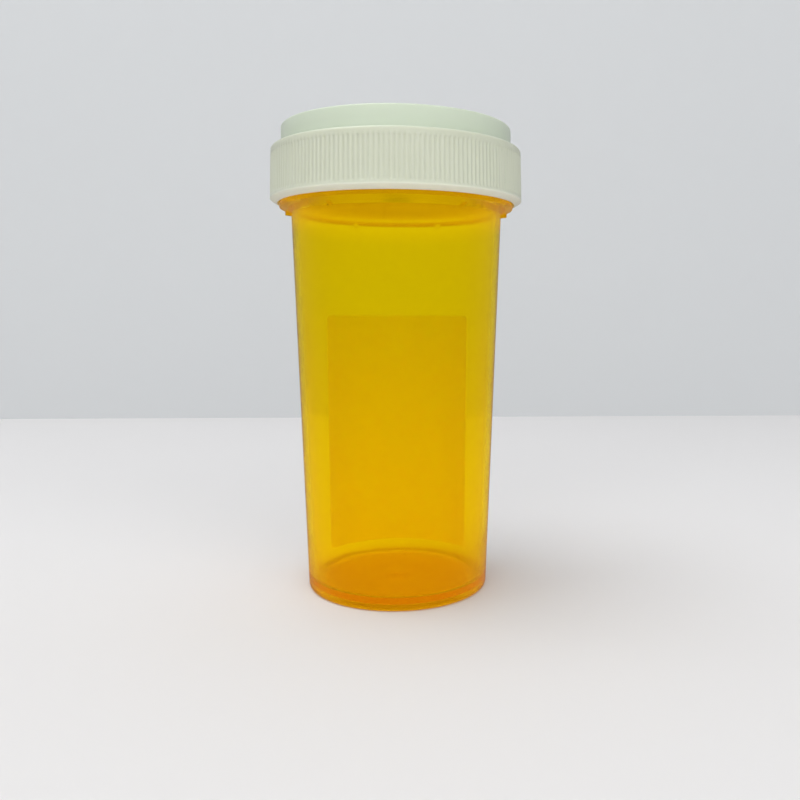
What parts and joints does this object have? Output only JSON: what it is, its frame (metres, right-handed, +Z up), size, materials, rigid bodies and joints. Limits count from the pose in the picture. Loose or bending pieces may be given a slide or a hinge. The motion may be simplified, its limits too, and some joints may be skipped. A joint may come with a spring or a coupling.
{
  "type": "prescription vial",
  "caption": "Amber tapered pharmacy vial with a reversible child-resistant cap that pushes down, turns and lifts off, and a plain label on the back.",
  "frame": {"origin": "centre of the foot, on the surface that the vial stands on", "axes": "+Z up along the vial's axis, the plain label on the +Y side, so -Y is the clear front"},
  "size_m": [0.046, 0.046, 0.085],
  "materials": {
    "amber_plastic": "glossy translucent amber polypropylene",
    "label_paper": "plain matt self-adhesive paper",
    "seal_foam": "fine closed-cell foamed polyethylene",
    "natural_plastic": "natural unpigmented polyethylene",
    "cap_plastic": "satin off-white polypropylene with a faint green cast"
  },
  "bodies": {
    "vial": {"vial_body": "amber_plastic", "label": "label_paper"},
    "seal": {"seal_wafer": "seal_foam"},
    "spring": {"spring_disc": "natural_plastic"},
    "cap": {"reversible_cap": "cap_plastic"}
  },
  "joints": [
    {"name": "cap_lift", "type": "slide", "parent": "vial", "child": "seal", "axis": [0, 0, 1], "range_m": [0, 0.03]},
    {"name": "cap_turn", "type": "hinge", "parent": "seal", "child": "spring", "pos_m": [0, 0, 0.0793], "axis": [0, 0, 1], "range_deg": [0, 30]},
    {"name": "cap_push", "type": "slide", "parent": "spring", "child": "cap", "axis": [0, 0, 1], "range_m": [-0.0012, 0], "stiffness_N_per_m": 8000, "springref_m": 0.0004, "deforming": ["spring_disc"]}
  ]
}
